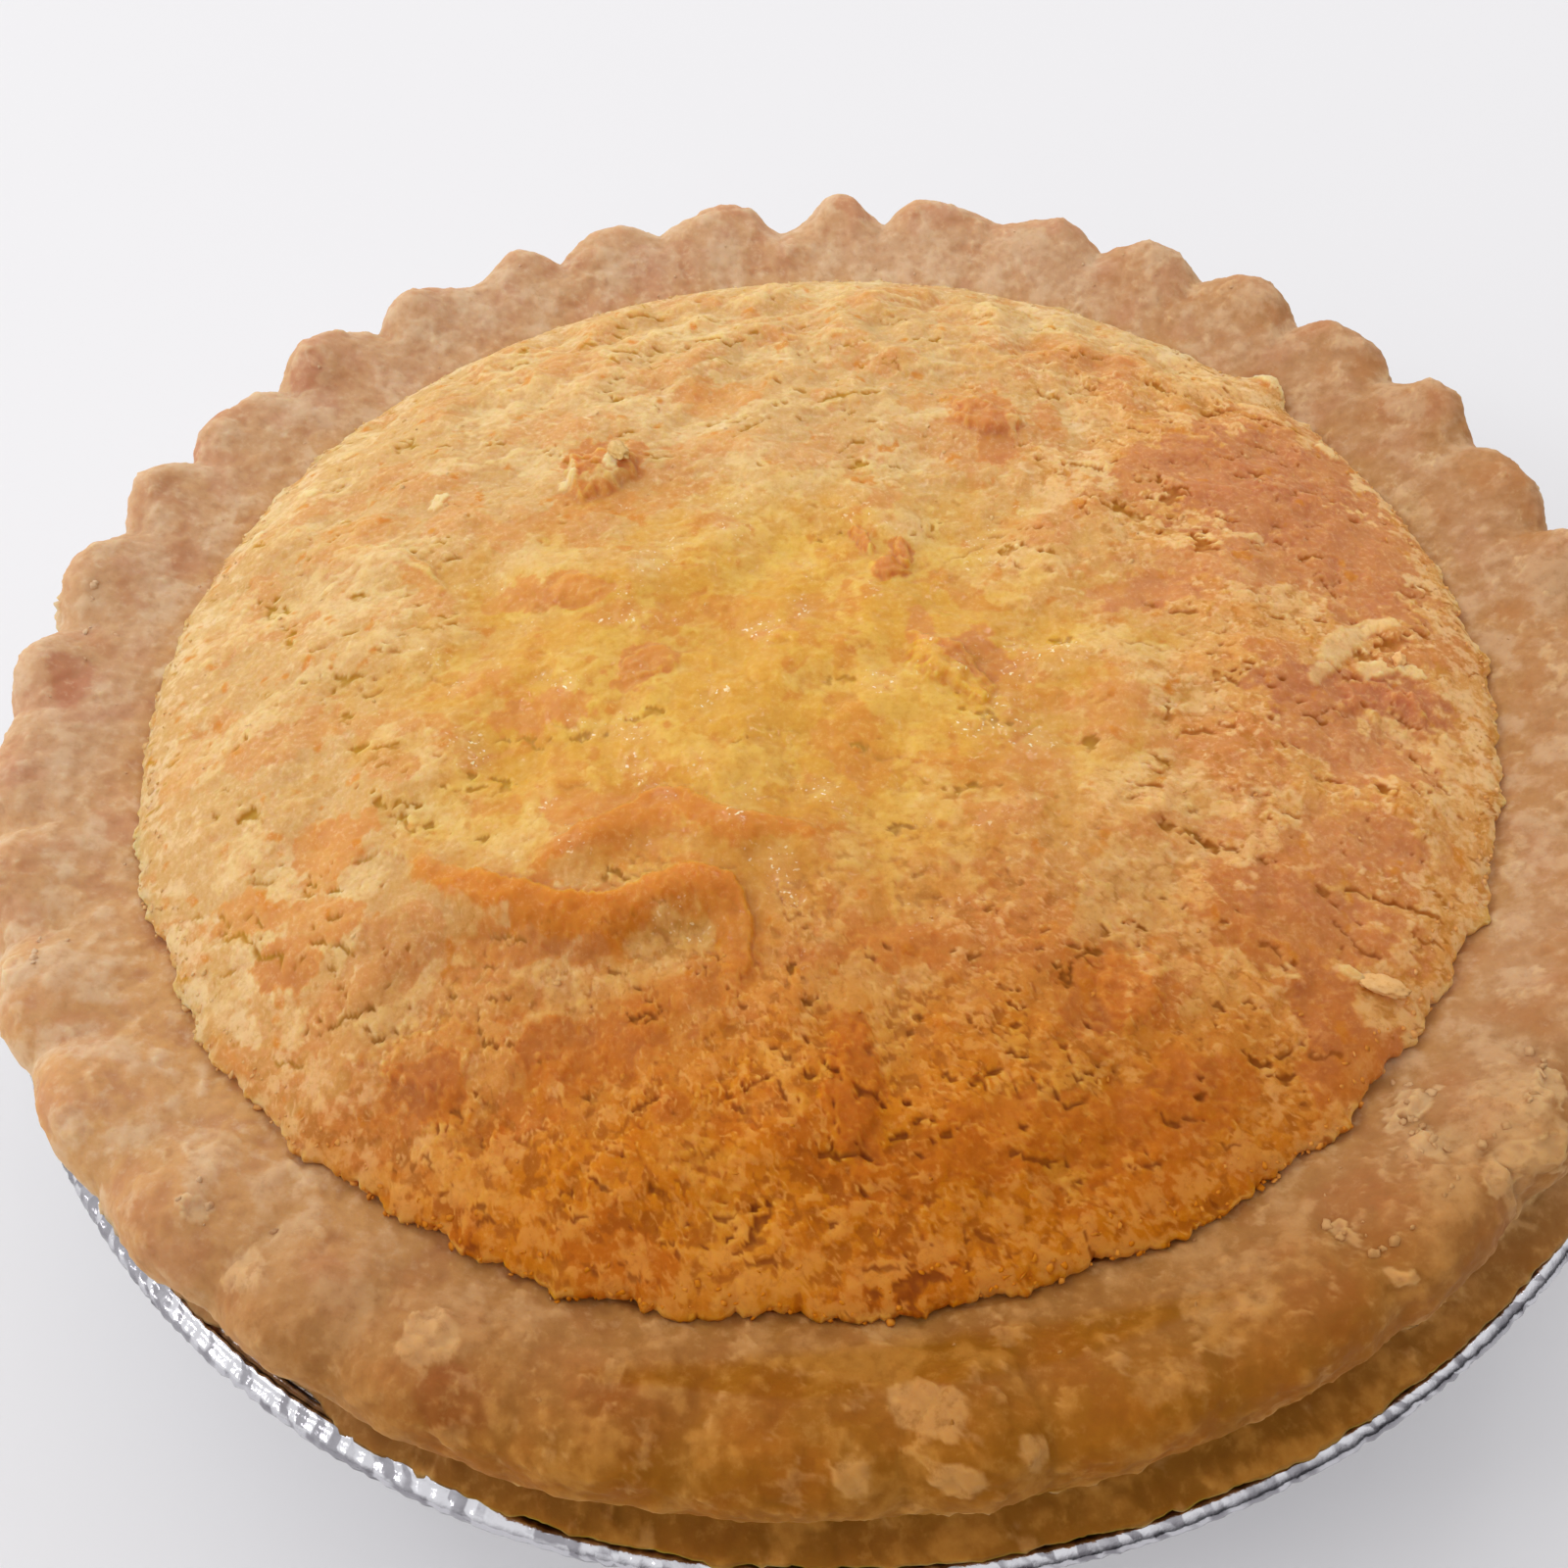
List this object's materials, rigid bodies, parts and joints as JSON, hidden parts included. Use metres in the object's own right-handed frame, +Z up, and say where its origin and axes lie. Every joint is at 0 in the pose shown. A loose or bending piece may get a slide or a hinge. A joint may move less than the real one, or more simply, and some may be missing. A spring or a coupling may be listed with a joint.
{
  "type": "coconut custard tart",
  "caption": "Round coconut custard tart: a domed, browned, crumbly filling in a fluted shortcrust case, baked and carried in its own thin foil tart tin.",
  "frame": {"origin": "on the table, under the middle of the tin's base (bottom centre of the bounding box)", "axes": "+Z up through the middle of the tart, -Y towards the viewer of the picture, +X to the viewer's right"},
  "size_m": [0.126, 0.126, 0.0422],
  "materials": {
    "foil": "thin crinkled aluminium foil, bright",
    "pastry": "baked shortcrust pastry, matte, paler and pinkish at the back, golden brown at the front",
    "custard": "baked coconut custard, crumbly, golden yellow and moist in the middle, orange-brown where it caught"
  },
  "bodies": {
    "root": {"foil_tin": "foil", "crust": "pastry", "filling": "custard"}
  },
  "joints": []
}
